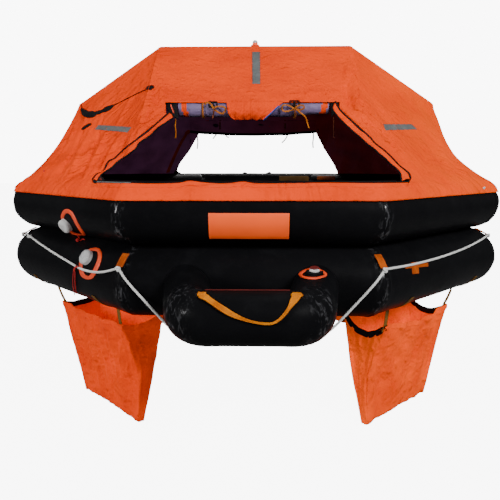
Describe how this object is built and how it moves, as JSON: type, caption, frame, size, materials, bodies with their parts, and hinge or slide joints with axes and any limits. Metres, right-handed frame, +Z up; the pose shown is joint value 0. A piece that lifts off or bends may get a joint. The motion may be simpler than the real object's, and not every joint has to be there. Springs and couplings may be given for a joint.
{
  "type": "inflatable life raft with tent canopy",
  "caption": "Octagonal inflatable life raft: two stacked air tubes, orange tent canopy with doorways front and rear, boarding ramp and water bags.",
  "frame": {"origin": "at the waterline of the empty raft, on the middle line of the octagon, 40 mm above the lower tube's underside", "axes": "+Z up, -Y towards the boarding ramp, +X to the right of someone who faces the ramp"},
  "size_m": [2.1994, 2.5295, 1.6973],
  "materials": {
    "tube_black": "satin black coated fabric, slightly blue",
    "floor_black": "dull black coated fabric",
    "canopy_orange": "coated orange tent cloth, soft sheen",
    "door_lilac": "silvery lilac lining of the rolled door",
    "webbing_orange": "woven orange-yellow webbing",
    "rope_white": "white braided rope",
    "valve_white": "off-white moulded plastic",
    "lamp_grey": "clear grey plastic lens",
    "cylinder_grey": "grey paint"
  },
  "bodies": {
    "raft": {"lower_tube": "tube_black", "upper_tube": "tube_black", "arch_tube": "tube_black", "floor_sheet": "floor_black", "canopy_skirt": "canopy_orange", "canopy_front": "canopy_orange", "canopy_rear": "canopy_orange", "canopy_left": "canopy_orange", "canopy_right": "canopy_orange", "canopy_front_left": "canopy_orange", "canopy_front_right": "canopy_orange", "canopy_rear_left": "canopy_orange", "canopy_rear_right": "canopy_orange", "front_door_roll": "door_lilac", "rear_door_roll": "door_lilac", "canopy_lamp": "lamp_grey", "ramp_bolster": "tube_black", "ramp_deck": "tube_black", "handle_tab_left": "webbing_orange", "handle_tab_right": "webbing_orange", "ramp_valve": "valve_white", "upper_valve": "valve_white", "lower_valve": "valve_white", "sign_plate": "webbing_orange", "ballast_bag_front_left": "canopy_orange", "ballast_bag_front_right": "canopy_orange", "ballast_bag_rear_left": "canopy_orange", "ballast_bag_rear_right": "canopy_orange", "lifeline": "rope_white", "lifeline_patch_front_left": "webbing_orange", "lifeline_patch_left_front": "webbing_orange", "lifeline_patch_left_rear": "webbing_orange", "lifeline_patch_rear_left": "webbing_orange", "lifeline_patch_rear_right": "webbing_orange", "lifeline_patch_right_rear": "webbing_orange", "lifeline_patch_right_front": "webbing_orange", "lifeline_patch_front_right": "webbing_orange", "ladder_patch": "webbing_orange", "gas_cylinder": "cylinder_grey", "cylinder_sling_left": "webbing_orange", "cylinder_sling_right": "webbing_orange", "righting_strap": "webbing_orange"},
    "handle": {"ramp_handle": "webbing_orange"},
    "ladder": {"rear_ladder": "webbing_orange"}
  },
  "joints": [
    {"name": "handle_swing", "type": "hinge", "parent": "raft", "child": "handle", "pos_m": [0, -1.36695, 0.13077], "axis": [-1, 0, 0], "range_deg": [0, 110]},
    {"name": "ladder_swing", "type": "hinge", "parent": "raft", "child": "ladder", "pos_m": [0, 1.1095, 0.085], "axis": [1, 0, 0], "range_deg": [-15, 100]}
  ]
}
